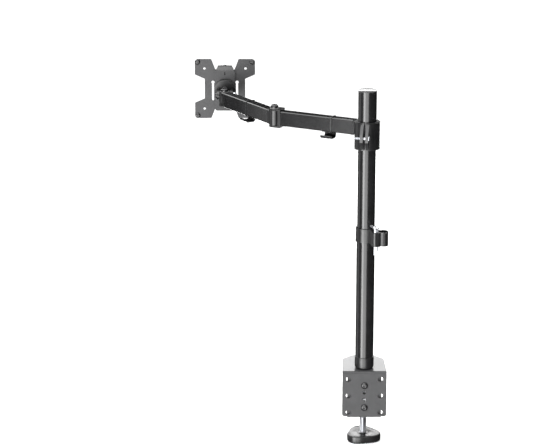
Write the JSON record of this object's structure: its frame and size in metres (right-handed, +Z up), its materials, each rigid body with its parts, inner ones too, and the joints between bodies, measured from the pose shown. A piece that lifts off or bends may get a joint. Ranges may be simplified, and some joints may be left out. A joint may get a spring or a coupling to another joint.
{
  "type": "monitor arm",
  "caption": "Desk-clamp monitor arm: an upright pole, a split collar with a jointed swivelling arm, and a tilting, rotating head with a square screen plate.",
  "frame": {"origin": "on the pole's axis, on the underside of the clamp's rubber pad, where it rests on the desk", "axes": "+Z up along the pole; the clamp's front plate faces -Y and the desk lies towards +Y; +X is to the right seen from the front"},
  "size_m": [0.3418, 0.3307, 0.641],
  "materials": {
    "grey_black_steel": "fine satin powder coat",
    "black_tube": "semi-gloss black paint",
    "black_casting": "satin black paint on a casting",
    "zinc": "bright zinc plating",
    "black_oxide": "black oxide",
    "black_plastic": "moulded, fine texture",
    "nylon": "plain moulded",
    "pole_cap": "smooth moulded disc",
    "rubber": "matt sheet"
  },
  "bodies": {
    "stand": {"clamp_bracket": "grey_black_steel", "desk_pad": "rubber", "lower_jaw": "grey_black_steel", "jaw_thread_strip": "zinc", "jaw_bolts": "black_oxide", "screw_nut": "zinc", "pole_foot": "black_casting", "pole_bolt": "zinc", "pole_tube": "black_tube", "pole_cap": "pole_cap"},
    "pressure_foot": {"pressure_plate": "grey_black_steel", "pressure_pad": "rubber"},
    "clamp_spindle": {"clamp_screw": "zinc", "clamp_knob": "black_plastic"},
    "cable_guide": {"cable_holder": "black_plastic"},
    "large_key": {"hex_key_large": "zinc"},
    "small_key": {"hex_key_small": "zinc"},
    "liner": {"collar_liner": "black_plastic"},
    "arm1": {"collar_body": "black_casting", "collar_bolt": "zinc", "arm1_tube": "black_tube", "arm1_fork": "black_casting", "arm1_screws": "zinc", "elbow_bolt": "black_oxide", "elbow_nut": "zinc", "elbow_washers": "nylon"},
    "clip1": {"arm1_clip": "black_plastic"},
    "arm2": {"arm2_tongue": "black_casting", "arm2_tube": "black_tube", "arm2_head_fork": "black_casting", "arm2_screws": "black_oxide", "head_bolt": "black_oxide", "head_nut": "zinc", "head_washers": "nylon"},
    "clip2": {"arm2_clip": "black_plastic"},
    "head": {"head_tongue": "black_casting"},
    "tilt": {"tilt_bracket": "black_casting", "tilt_bolt": "black_oxide", "tilt_nut": "zinc", "tilt_washers": "nylon"},
    "screen_plate": {"hub_bolt": "black_oxide", "hub_nut": "zinc", "hub_washer": "nylon", "hub_bracket": "grey_black_steel", "safety_catch": "black_plastic", "catch_screw": "black_oxide", "vesa_plate": "grey_black_steel", "vesa_screws": "black_oxide"}
  },
  "joints": [
    {"name": "pressure_travel", "type": "slide", "parent": "stand", "child": "pressure_foot", "axis": [0, 0, 1], "range_m": [-0.042, 0.016]},
    {"name": "screw_turn", "type": "hinge", "parent": "pressure_foot", "child": "clamp_spindle", "pos_m": [0, 0.018, -0.03], "axis": [0, 0, 1], "range_deg": [-8640, 3290]},
    {"name": "holder_height", "type": "slide", "parent": "stand", "child": "cable_guide", "axis": [0, 0, 1], "range_m": [-0.16, 0.045]},
    {"name": "large_key_pull", "type": "slide", "parent": "cable_guide", "child": "large_key", "axis": [0, 0, 1], "range_m": [0, 0.04]},
    {"name": "small_key_pull", "type": "slide", "parent": "cable_guide", "child": "small_key", "axis": [0, 0, 1], "range_m": [0, 0.034]},
    {"name": "collar_height", "type": "slide", "parent": "stand", "child": "liner", "axis": [0, 0, 1], "range_m": [-0.08, 0.045]},
    {"name": "collar_swivel", "type": "hinge", "parent": "liner", "child": "arm1", "pos_m": [0, 0, 0.4295], "axis": [0, 0, 1], "continuous": true},
    {"name": "clip1_slide", "type": "slide", "parent": "arm1", "child": "clip1", "axis": [-0.8878, 0.4602, 0], "range_m": [-0.03, 0.066]},
    {"name": "elbow_swivel", "type": "hinge", "parent": "arm1", "child": "arm2", "pos_m": [-0.15803, 0.08192, 0.4395], "axis": [0, 0, 1], "range_deg": [-60, 120]},
    {"name": "clip2_slide", "type": "slide", "parent": "arm2", "child": "clip2", "axis": [-0.5314, 0.8471, 0], "range_m": [-0.055, 0.045]},
    {"name": "head_swivel", "type": "hinge", "parent": "arm2", "child": "head", "pos_m": [-0.24784, 0.22508, 0.4395], "axis": [0, 0, 1], "range_deg": [-50, 115]},
    {"name": "head_tilt", "type": "hinge", "parent": "head", "child": "tilt", "pos_m": [-0.24784, 0.25408, 0.4395], "axis": [1, 0, 0], "range_deg": [-45, 45]},
    {"name": "plate_rotate", "type": "hinge", "parent": "tilt", "child": "screen_plate", "pos_m": [-0.24784, 0.27, 0.4455], "axis": [0, 1, 0], "continuous": true}
  ],
  "couplings": [
    {"joint": "pressure_travel", "follows": "screw_turn", "m_per_rad": 0.00027852}
  ]
}
